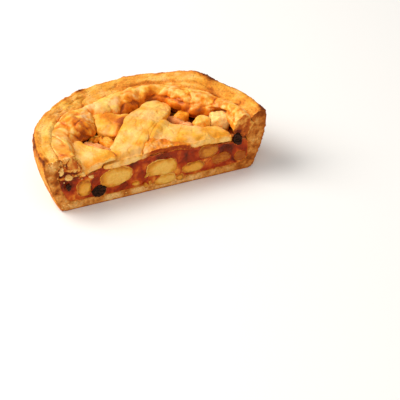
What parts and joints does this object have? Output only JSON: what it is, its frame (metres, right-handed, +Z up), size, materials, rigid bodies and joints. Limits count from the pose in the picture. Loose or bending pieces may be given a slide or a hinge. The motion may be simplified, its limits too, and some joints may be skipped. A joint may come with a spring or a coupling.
{
  "type": "half apple pie",
  "caption": "Half of a deep Dutch apple pie, cut across, with a dough lattice on top and apple and raisin filling at the cut.",
  "frame": {"origin": "middle of the half pie's footprint box, on the surface that it stands on", "axes": "+X along the knife cut, left to right as seen from the cut; +Y from the cut into the pie; +Z up"},
  "size_m": [0.2023, 0.1088, 0.0601],
  "materials": {
    "baked_crust": "matte sandy shortcrust, browned outside",
    "glazed_dough": "egg-washed dough, satin, golden with orange-brown patches",
    "strip_dough": "pale golden dough, satin",
    "fruit_jelly": "glossy red-brown jelly",
    "apple_flesh": "moist cooked apple",
    "raisin_skin": "dark wrinkled raisin"
  },
  "bodies": {
    "root": {"crust": "baked_crust", "roll_left": "glazed_dough", "roll_back": "glazed_dough", "strip_left": "strip_dough", "strip_over": "strip_dough", "strip_under": "strip_dough", "flake": "glazed_dough", "filling": "fruit_jelly", "apple_1": "apple_flesh", "apple_2": "apple_flesh", "apple_3": "apple_flesh", "apple_4": "apple_flesh", "apple_5": "apple_flesh", "apple_6": "apple_flesh", "apple_7": "apple_flesh", "apple_8": "apple_flesh", "apple_9": "apple_flesh", "apple_10": "apple_flesh", "apple_11": "apple_flesh", "apple_12": "apple_flesh", "apple_13": "apple_flesh", "raisin_1": "raisin_skin", "raisin_2": "raisin_skin", "raisin_3": "raisin_skin"}
  },
  "joints": []
}
